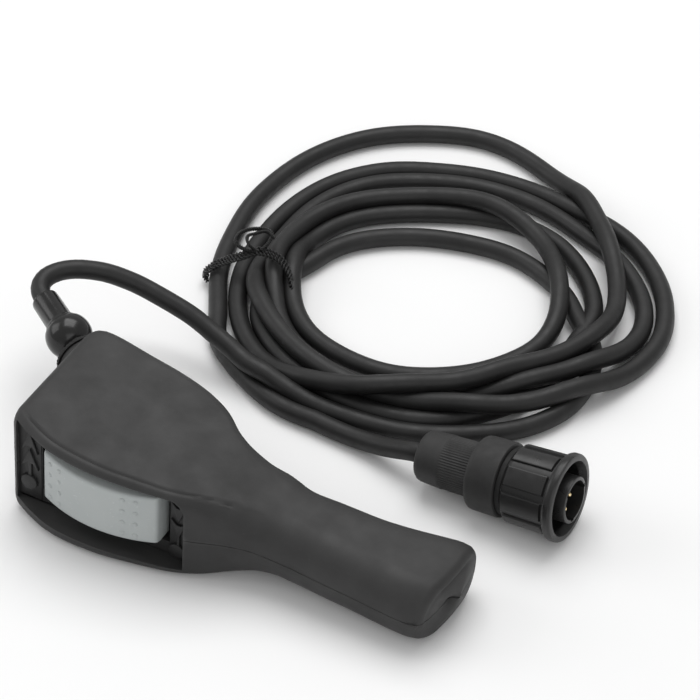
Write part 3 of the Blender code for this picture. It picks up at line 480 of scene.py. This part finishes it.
def casing_ring(u, inset, arc_steps, flats):
    """One section of the casing, as points (u, v, w), drawn in by a wall thickness."""
    end = GRIP_END - CAP_RISE
    from_head, from_grip = u - (HEAD_END + inset), end - inset - u
    at_grip = rounding(from_grip, 3.4 - inset * 0.5) + 1.1 * ease(u, end - 9.0, end)
    front_in = rounding(from_head, 4.0 - inset) + at_grip
    edge_in = rounding(from_head, 6.0 - inset) + at_grip
    back = smooth_value(BACK_PLAN, u) - inset - rounding(from_head, 10.0 - inset) - at_grip
    front = smooth_value(FRONT_PLAN, u) + inset + front_in
    if inset and u < -8.0:
        front = max(front, -29.7 + front_in)
    height = half_height(u) - inset - edge_in
    radius = 6.0 + 8.5 * ease(u, -16.0, 34.0) - inset
    radius = max(min(radius, height * 0.96, (back - front) / 2 * 0.96), 0.8)
    lean = ease(u, 40.0, 105.0)
    ring = []
    corners = ((back, height, 0), (front, height, 90), (front, -height, 180), (back, -height, 270))
    for number, (v_side, w_side, start) in enumerate(corners):
        v_mid = v_side - math.copysign(radius, v_side - (back + front) / 2)
        w_mid = w_side - math.copysign(radius, w_side)
        arc = []
        for step in range(arc_steps + 1):
            angle = math.radians(start + 90.0 * step / arc_steps)
            arc.append([v_mid + radius * math.cos(angle), w_mid + radius * math.sin(angle)])
        if ring and flats:
            last = ring[-1]
            count = flats[number % 2]
            places = [k / count for k in range(1, count)]
            if number == 1:
                flat = max(abs(arc[0][0] - last[0]), 1.0)
                places += [1 - min(gap / flat, share / count) for gap, share in CREASE_GAPS]
            for t in places:
                ring.append([last[0] + (arc[0][0] - last[0]) * t, last[1] + (arc[0][1] - last[1]) * t])
        ring += arc
    if flats:
        last, first = ring[-1], ring[0]
        for k in range(1, flats[0]):
            t = k / flats[0]
            ring.append([last[0] + (first[0] - last[0]) * t, last[1] + (first[1] - last[1]) * t])
    out = []
    for v, w in ring:
        from_crown = v - 4.0
        true_u = u + lean * (0.03 * from_crown - 0.00375 * from_crown**2)
        thinner = half_height(true_u) - half_height(u)
        out.append([true_u, v, w * (1.0 + thinner / height)])
    return out


def detail(point, inset):
    """The groove along the front's upper edge, the seam's edges and the uneven skin."""
    u, v, w = point
    if inset:
        return point
    front = smooth_value(FRONT_PLAN, u)
    top = half_height(u)
    if -104 < u < 30 and w > 0:
        crease = v - (front + 6.0)
        fade = ease(u, -104.0, -96.0) * (1.0 - ease(u, 2.0, 30.0)) * ease(w, top - 4.0, top - 1.0)
        w -= fade * (0.80 * math.exp(-(crease / 0.75)**2) - 0.25 * math.exp(-((crease + 2.4) / 1.2)**2))
    p = Vector((u, v, w))
    lump = noise.noise(p * 0.045) * 0.30 + noise.noise(p * 0.16 + Vector((9, 2, 5))) * 0.09
    side = 1.0 if w > 0 else -1.0
    if abs(w) < top - 2.0:
        v += lump * (1.0 if v > 0 else -1.0)
    elif w > 0:
        w += lump * side - 0.28 * (1 + math.cos(min(max((u - 40) / 60, -1), 1) * math.pi)) * 0.2
    return (u, v, w)


def stations(start, end, fine, coarse):
    """Section places: close together at the rounded ends and in the neck."""
    places = [start + 5.0 * (k / 9)**2 for k in range(10)]
    u = places[-1]
    while u < end - 6.0:
        u += fine if -30 < u < 38 else coarse
        places.append(u)
    places = [p for p in places if p < end - 5.0]
    places += [end - 4.8 * (k / 12)**2 for k in reversed(range(13))]
    return places


def casing_solid(name, inset, arc_steps, flats, fine, coarse):
    """The casing's outside, or its inside when inset is a wall thickness, as one loft."""
    bm = bmesh.new()
    rings = [casing_ring(u, inset, arc_steps, flats)
             for u in stations(HEAD_END + inset, GRIP_END - CAP_RISE - inset, fine, coarse)]
    if not inset:
        last = rings[-1]
        middle = Vector((0, 0, 0))
        for p in last:
            middle += Vector(p) / len(last)
        for k in (0.95, 0.88, 0.76, 0.62, 0.46, 0.30, 0.15, 0.05):
            rise = CAP_RISE * (1 - k**2.2) - 0.25 * (1 if k > 0.93 else 0)
            rings.append([(p[0] + rise, middle.y + (p[1] - middle.y) * k,
                           middle.z + (p[2] - middle.z) * k) for p in last])
    loops = [[bm.verts.new(detail(p, inset)) for p in ring] for ring in rings]
    for first, second in zip(loops, loops[1:]):
        count = len(first)
        for i in range(count):
            j = (i + 1) % count
            bm.faces.new((first[i], first[j], second[j], second[i]))
    bm.faces.new(loops[0])
    bm.faces.new(loops[-1])
    return piece(name, bm, None, None, (), HANDSET)


def slab(name, outline, low, high, matrix, slot=None, body=None, bevel=0.0, smooth_deg=35.0):
    """A flat outline in mm extruded along its own Z."""
    bm = bmesh.new()
    base = bm.faces.new([bm.verts.new((x, y, low)) for x, y in outline])
    grown = bmesh.ops.extrude_face_region(bm, geom=[base])
    moved = [item for item in grown["geom"] if isinstance(item, bmesh.types.BMVert)]
    bmesh.ops.translate(bm, vec=(0, 0, high - low), verts=moved)
    if bevel:
        bmesh.ops.bevel(bm, geom=bm.edges[:], offset=bevel, segments=3, affect="EDGES", profile=0.5,
                        clamp_overlap=True)
    return piece(name, bm, slot, body, (), matrix, smooth_deg)


def circle(radius, count, x=0.0, y=0.0):
    """Points round a circle."""
    return [(x + radius * math.cos(2 * math.pi * k / count), y + radius * math.sin(2 * math.pi * k / count))
            for k in range(count)]


def cut(target, tool, operation="DIFFERENCE"):
    """Apply a Boolean to a piece's mesh and delete the tool."""
    modifier = target.modifiers.new("cut", "BOOLEAN")
    modifier.operation = operation
    modifier.solver = "EXACT"
    modifier.object = tool
    bpy.context.view_layer.update()
    mesh = bpy.data.meshes.new_from_object(target.evaluated_get(bpy.context.evaluated_depsgraph_get()))
    target.modifiers.remove(modifier)
    target.data = mesh
    bpy.data.objects.remove(tool)


FRONT = HANDSET @ Matrix.Rotation(math.radians(90.0), 4, "X")


def make_casing():
    """Two moulded shells with the window, the screw wells and the seam between them."""
    whole = casing_solid("casing", 0.0, 9, (18, 10), 1.6, 3.2)
    cut(whole, slab("neck", circle(12.2, 48), -26.0, 0.0, GLAND), "UNION")
    cut(whole, casing_solid("cavity", 3.0, 3, None, 4.0, 12.0))
    cut(whole, slab("window", WINDOW, 25.7, 60.0, FRONT))
    cut(whole, slab("bore", circle(8.3, 32), -40.0, 8.0, GLAND))
    for u, v in SCREW_SITES:
        well = HANDSET @ Matrix.Translation(Vector((u, v, 0.0)) * MM)
        top = half_height(u) - 1.2
        cut(whole, slab("well", circle(3.2, 24), -top - 6.0, -top + 6.0, well))
    for name, low, high, node in (("casing_top_shell", 0.15, 80.0, "upper_casing"),
                                  ("casing_bottom_shell", -80.0, -0.15, "lower_casing")):
        half = whole.copy()
        half.data = whole.data.copy()
        half.name = name
        bpy.context.scene.collection.objects.link(half)
        box = [(-200, -100), (200, -100), (200, 100), (-200, 100)]
        cut(half, slab("half", box, low, high, HANDSET), "INTERSECT")
        half.data.name = name
        half.data.materials.clear()
        half.data.materials.append(MATS["casing_rubber"])
        half.data.shade_smooth()
        half.data.set_sharp_from_angle(angle=math.radians(32.0))
        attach(half, "handset")
        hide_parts(node)
    bpy.data.objects.remove(whole)


make_casing()


def make_flash():
    """The ragged moulding flash along the seam of the neck and grip."""
    for name, plan, side, start, end in (("seam_flash_front", FRONT_PLAN, -1, -11.5, 104.0),
                                         ("seam_flash_back", BACK_PLAN, 1, -34.0, 104.0)):
        bm = bmesh.new()
        rows = []
        count = 150
        for k in range(count + 1):
            u = start + (end - start) * k / count
            v = smooth_value(plan, u)
            rough = noise.noise(Vector((u * 0.35, side * 7.0, 0))) + noise.noise(Vector((u * 1.1, 3, side)))
            reach = 0.28 + 0.22 * rough
            lift = 0.25 * noise.noise(Vector((u * 0.2, 11, side)))
            rows.append([bm.verts.new((u, v - side * 1.0, lift - 0.13)),
                         bm.verts.new((u, v + side * reach, lift)),
                         bm.verts.new((u, v - side * 1.0, lift + 0.13))])
        for a, b in zip(rows, rows[1:]):
            for i in range(3):
                j = (i + 1) % 3
                bm.faces.new((a[i], a[j], b[j], b[i]))
        bm.faces.new(rows[0])
        bm.faces.new(rows[-1])
        piece(name, bm, "casing_rubber", "handset", (), HANDSET, 60.0)


make_flash()

# ------------------------------------------------------------------ rocker and its panels

SWITCH_U, SWITCH_W = -56.7, 3.3
SWITCH = HANDSET @ Matrix.Translation((SWITCH_U * MM, 0.0, SWITCH_W * MM))
ROCKER_FACE, ROCKER_HALF, ROCKER_BOW, ROCKER_HIGH = -41.6, 30.4, 6.8, 14.4
DOT_PITCH = 6.9
DOT_R = 1.25
DOT_RISE = 0.75


def rocker_face(x):
    """The bowed face's v at a distance from the rocker's middle."""
    radius = (ROCKER_HALF**2 + ROCKER_BOW**2) / (2 * ROCKER_BOW)
    return ROCKER_FACE + radius - math.sqrt(radius**2 - x**2)


def raised_dot(bm, centre, slope):
    """A low dome on the rocker's face."""
    across = Vector((math.cos(slope), math.sin(slope), 0.0))
    out = Vector((math.sin(slope), -math.cos(slope), 0.0))
    rings = []
    for level in range(5):
        angle = math.radians(84 * level / 4)
        r, rise = DOT_R * math.cos(angle), DOT_RISE * math.sin(angle)
        rings.append([bm.verts.new(centre + across * (r * math.cos(t * math.pi / 10)) + out * rise
                                   + Vector((0.0, 0.0, r * math.sin(t * math.pi / 10)))) for t in range(20)])
    for low, high in zip(rings, rings[1:]):
        for t in range(20):
            bm.faces.new((low[t], low[(t + 1) % 20], high[(t + 1) % 20], high[t]))
    bm.faces.new(rings[-1])
    bm.faces.new(list(reversed(rings[0])))


def make_rocker():
    """The bowed grey rocker with rounded edges and raised dots."""
    bm = bmesh.new()
    columns, rows, edge = 61, 25, 1.5
    half, high = ROCKER_HALF, ROCKER_HIGH
    grid = []
    for i in range(columns):
        x = -half + 2 * half * i / (columns - 1)
        x = math.copysign(half * (1 - (1 - abs(x) / half)**1.35), x) if abs(x) > 0 else 0.0
        line = []
        for j in range(rows):
            w = -1 + 2 * j / (rows - 1)
            w = math.copysign(high * (1 - (1 - abs(w))**1.7), w) if w else 0.0
            drop = rounding(half - abs(x), edge) + rounding(high - abs(w), edge)
            line.append(bm.verts.new((x, rocker_face(x) + drop, w)))
        grid.append(line)
    for a, b in zip(grid, grid[1:]):
        for j in range(rows - 1):
            bm.faces.new((a[j], a[j + 1], b[j + 1], b[j]))
    rim = [grid[i][0] for i in range(columns)] + [grid[-1][j] for j in range(1, rows)]
    rim += [grid[i][-1] for i in range(columns - 2, -1, -1)] + [grid[0][j] for j in range(rows - 2, 0, -1)]
    low = [bm.verts.new((v.co.x, -24.0, v.co.z)) for v in rim]
    for k in range(len(rim)):
        j = (k + 1) % len(rim)
        bm.faces.new((rim[k], rim[j], low[j], low[k]))
    bm.faces.new(low)
    for column in (-25.5, -19.5, 14.8, 20.8):
        slope = math.atan(rocker_face(column + 0.5) - rocker_face(column - 0.5))
        for row in range(4):
            w = (row - 1.5) * DOT_PITCH
            raised_dot(bm, Vector((column, rocker_face(column) + 0.1, w)), slope)
    piece("rocker_cap", bm, "rocker_grey", "rocker", ("rocker_actuator",), SWITCH, 50.0)


make_rocker()


def arrow(name, points, high):
    """A raised mark on a panel, in u and w."""
    slab(name, points, 28.2, high, FRONT, "switch_black", "handset", 0.25)


def make_panels():
    """The two plates beside the rocker, each with raised double arrows, a stem and a boss."""
    slab("panel_head", [(-103.2, -20.2), (-91.2, -20.2), (-91.2, 25.2), (-103.2, 25.9)], 28.0, 29.9, FRONT,
         "switch_black", "handset", 0.25)
    slab("panel_grip", [(-22.2, -19.2), (-11.0, -19.2), (-11.0, 19.6), (-22.2, 20.6)], 28.0, 29.9, FRONT,
         "switch_black", "handset", 0.25)
    for number, (tip, half, drop) in enumerate(((22.5, 4.6, 13.5), (11.0, 4.8, 12.0)), start=1):
        arrow(f"arrow_head_{number}",
              [(-97.0, tip), (-97.0 + half, tip - drop), (-97.0 + 1.6, tip - drop * 0.72),
               (-97.0 - 1.6, tip - drop * 0.72), (-97.0 - half, tip - drop)], 31.2)
    arrow("stem_head", [(-97.9, 4.0), (-97.9, -7.0), (-96.1, -7.0), (-96.1, 4.0)], 31.0)
    slab("boss_head", circle(4.3, 36, -97.4, -9.9), 28.2, 31.5, FRONT, "switch_black", "handset", 0.5)
    for number, (tip, half, drop) in enumerate(((4.2, 4.3, 11.5), (-6.0, 4.2, 11.0)), start=1):
        arrow(f"arrow_grip_{number}",
              [(-17.4, tip), (-17.4 - half, tip + drop), (-17.4 - 1.2, tip + drop * 0.74),
               (-17.4 + 1.2, tip + drop * 0.74), (-17.4 + half, tip + drop)], 31.2)
    arrow("stem_grip", [(-18.2, -4.0), (-16.8, -4.0), (-16.8, -12.5), (-18.2, -12.5)], 31.0)
    slab("boss_grip", circle(4.2, 36, -18.0, -14.6), 28.2, 31.5, FRONT, "switch_black", "handset", 0.5)


make_panels()

# ------------------------------------------------------------------ strain relief

BALL_R = 11.5


def make_gland():
    """The sleeve, its ball collar with a groove, and the serrated washer."""
    mouth, ball = SLEEVE_END, 15.0
    profile = [(CORD_R + 0.3, mouth), (6.2, mouth), (6.6, mouth - 0.4), (6.8, mouth - 1.2),
               (7.0, ball + 9.6)]
    for step in range(25):
        angle = math.radians(51.0 - 99.0 * step / 24)
        groove = 0.75 * math.exp(-((step - 4) / 1.1)**2)
        profile.append(((BALL_R - groove) * math.cos(angle), ball + (BALL_R - groove) * math.sin(angle)))
    profile += [(8.4, 4.9), (8.4, 4.0), (9.2, 2.6), (8.0, 2.6), (8.0, -13.0), (7.4, -14.0),
                (CORD_R + 0.3, -14.0)]
    turned("cord_sleeve", profile, "gland_vinyl", "handset", ("strain_relief",), GLAND, 72)
    washer = ((12.6, 2.3), (13.1, 2.0), (13.2, 1.5), (13.2, 0.3), (8.3, 0.3), (8.3, 2.3))

    def teeth(r, z, angle):
        return r - (0.45 * (math.sin(angle * 40) > 0) if r > 12 and z > 1 else 0.0)

    turned("gland_ring", washer, "seal_rubber", "handset", ("gland_washer",), GLAND, 240, teeth)


make_gland()

# ------------------------------------------------------------------ plug

RING_START, RING_END, SHROUD_END, INSERT_FACE, PIN_TIP = 48.6, 76.6, 79.2, 62.5, 75.6
SHROUD_BORE, SHROUD_R = 9.6, 11.3
PIN_R, PIN_ROOT_R = 1.15, 1.9
RIB_COUNT, PANEL_COUNT = 64, 9
PIN_SITES = ((-4.8, 2.4), (0.6, 3.4), (5.6, -1.6))


def make_plug():
    """The ribbed boot, the seal, the coupling ring with its panels, the shroud and the pins."""
    bore = CORD_R + 0.3
    boot = fine_profile([(bore, 45.4), (17.4, 45.4), (18.0, 45.0), (18.2, 44.3), (18.0, 32.0), (17.8, 30.8),
                         (17.2, 29.9), (16.0, 29.5), (13.6, 29.1), (13.3, 28.6), (13.0, 13.9), (13.2, 13.3),
                         (12.5, 2.8), (12.1, 1.4), (11.2, 0.4), (9.8, 0.0), (bore, 0.0)], 1.2)

    def ribs(r, z, angle):
        if r < 9.0 or z > 28.8:
            seam = abs((angle - 1.1 + math.pi) % (2 * math.pi) - math.pi) < 0.02
            return r - (0.25 if seam and r > 9 else 0.0)
        band = ease(z, 13.4, 14.2)
        return r - band * 0.32 * (0.5 + 0.5 * math.cos(angle * RIB_COUNT))

    turned("plug_sleeve", boot, "plug_matt", "handset", ("plug_boot",), PLUG, 384, ribs)
    gasket = ((15.4, 48.2), (16.0, 47.9), (16.2, 47.4), (16.2, 45.7), (12.9, 45.7), (12.9, 48.2))
    turned("plug_gasket", gasket, "seal_rubber", "handset", ("plug_seal",), PLUG, 96)
    ring = fine_profile([(18.2, RING_END), (18.8, RING_END), (20.2, RING_END), (20.9, RING_END - 0.3),
                         (21.3, RING_END - 1.0), (21.3, RING_END - 3.4), (20.9, RING_END - 4.3),
                         (20.0, RING_END - 5.0), (18.4, RING_END - 5.2), (17.9, RING_START + 1.6),
                         (17.7, RING_START + 0.6), (17.2, RING_START), (13.0, RING_START),
                         (13.0, RING_START + 6.0), (16.4, RING_START + 6.3), (16.5, RING_END - 4.0)],
                        0.7)

    def panels(r, z, angle):
        outer = r > 17.0 and RING_START + 0.8 < z < RING_END - 4.9
        if not outer:
            return r
        phase = (angle * PANEL_COUNT / (2 * math.pi)) % 1.0
        edge = min(phase, 1 - phase) * 2 * math.pi / PANEL_COUNT * 18
        inside = ease(edge, 1.6, 1.9)
        ends = ease(z, RING_START + 1.0, RING_START + 1.5) * (1 - ease(z, RING_END - 6.4, RING_END - 5.8))
        return r + 1.05 * inside * ends

    turned("coupling_collar", ring, "plug_gloss", "coupling", ("coupling_ring",), PLUG, 432, panels, 30.0)
    shroud = [(SHROUD_BORE, SHROUD_END), (SHROUD_R - 0.5, SHROUD_END), (SHROUD_R - 0.1, SHROUD_END - 0.2),
              (SHROUD_R, SHROUD_END - 0.6), (SHROUD_R, 58.0), (14.2, 58.0), (14.2, 55.2), (12.6, 55.2),
              (12.6, 36.3), (SHROUD_BORE, 36.3), (SHROUD_BORE, INSERT_FACE + 4),
              (SHROUD_BORE, INSERT_FACE + 4.05)]

    def keys(r, z, angle):
        if r > 10.1 or z < INSERT_FACE + 4.02:
            return r
        for middle, half in ((-20.0, 9.0), (100.0, 6.5), (220.0, 6.5)):
            away = abs((math.degrees(angle) - middle + 180) % 360 - 180)
            if away < half:
                return r + 0.85
        return r

    turned("pin_sleeve", shroud, "plug_gloss", "handset", ("pin_shroud",), PLUG, 180, keys)
    for index, (x, y) in enumerate(PIN_SITES):
        at = PLUG @ Matrix.Translation((x * MM, y * MM, 0.0))
        pin = [(0.02, PIN_TIP)]
        pin += [(PIN_R * math.sin(math.radians(a)), PIN_TIP - 1.0 + math.cos(math.radians(a)))
                for a in (25, 50, 75)]
        pin += [(PIN_R, PIN_TIP - 1.3), (PIN_R, INSERT_FACE - 1.0), (PIN_ROOT_R, INSERT_FACE - 1.6),
                (PIN_ROOT_R, 41.0), (0.02, 41.0)]
        turned(f"pin_{index + 1}", pin, "gold_plate", "handset", (f"contact_pin_{index + 1}",), at, 32)


make_plug()

# ------------------------------------------------------------------ tie


def braid(name, route, radius, strands=3, lay=3.2, phase=0.0):
    """A few fine strands twisted together along a route in mm, as one mesh."""
    points = smooth_route(route, 0.45)
    bm = bmesh.new()
    up = Vector((0.0, 0.0, 1.0))
    sides = 7
    for strand in range(strands):
        rings = []
        for k, point in enumerate(points):
            after = points[min(k + 1, len(points) - 1)]
            before = points[max(k - 1, 0)]
            along = (Vector(after) - Vector(before)).normalized()
            across = along.cross(up)
            if across.length <= 0.05:
                across = along.cross(Vector((1, 0, 0)))
            across = across.normalized()
            other = along.cross(across)
            twist = phase + 2 * math.pi * (strand / strands + k * 0.45 / lay)
            centre = Vector(point) + (across * math.cos(twist) + other * math.sin(twist)) * radius * 0.62
            rings.append([bm.verts.new(centre + (across * math.cos(2 * math.pi * s / sides)
                                                 + other * math.sin(2 * math.pi * s / sides)) * radius * 0.52)
                          for s in range(sides)])
        for a, b in zip(rings, rings[1:]):
            for s in range(sides):
                t = (s + 1) % sides
                bm.faces.new((a[s], a[t], b[t], b[s]))
        bm.faces.new(rings[0])
        bm.faces.new(rings[-1])
    return piece(name, bm, "tie_wire", "handset", (), None, 60.0)


LEFT_WRAP = ((-108.5, 154.5, 1.6), (-109.5, 153, 6), (-106.0, 154.0, 10.5), (-102.0, 157.0, 13),
             (-95.5, 157.5, 17.5), (-89.5, 159.5, 20.5), (-85.0, 163.0, 22))
RIGHT_WRAP = ((-82.5, 164.0, 22.5), (-76.5, 165.0, 22), (-71.0, 164.5, 20.5), (-65.5, 162.0, 17.5),
              (-62.0, 159.0, 13), (-60.0, 157.0, 8), (-61.5, 157.0, 1.6))
LOOP = ((-82.5, 162.5, 23), (-89.0, 160.0, 24), (-95.0, 161.5, 25.5), (-96.5, 167.5, 26), (-93.5, 173.5, 26),
        (-87.5, 177.5, 25.5), (-82.5, 176.5, 25), (-81.0, 170.0, 24), (-82.0, 163.5, 23))
TAIL_TWIST = ((-84.0, 162.0, 24), (-87.5, 161.5, 27), (-90.5, 165.5, 28), (-88.0, 169.5, 28),
              (-84.5, 174.5, 27), (-79.5, 174.0, 25))


def make_tie():
    """A soft wire in a braided cover: two wraps round the turns and a twisted knot on top."""
    for number, shift in enumerate(((0.0, 0.0), (1.2, -2.2), (-0.6, 1.9))):
        route = [(x + shift[0], y + shift[1], z + 0.2 * number) for x, y, z in (*LEFT_WRAP, *RIGHT_WRAP)]
        braid(f"tie_wrap_{number + 1}", route, 0.95, 2, 4.0, number * 1.3)
    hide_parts("coil_tie")
    braid("tie_loop", LOOP, 1.05, 3, 3.6)
    braid("tie_twist", TAIL_TWIST, 0.9, 3, 3.0, 1.0)


make_tie()

# ------------------------------------------------------------------ floor

floor_bm = bmesh.new()
bmesh.ops.create_grid(floor_bm, x_segments=2, y_segments=2, size=6.0)
floor_mesh = bpy.data.meshes.new("floor")
floor_bm.to_mesh(floor_mesh)
floor_bm.free()
floor = bpy.data.objects.new("floor", floor_mesh)
bpy.context.scene.collection.objects.link(floor)
floor_nodes = Nodes("floor")
floor_mesh.materials.append(floor_nodes.finish(
    floor_nodes.ramp(floor_nodes.noise(3.0), [(0.3, 0.86), (0.7, 0.88)]),
    floor_nodes.ramp(floor_nodes.noise(9.0), [(0.3, 0.55), (0.7, 0.60)])))
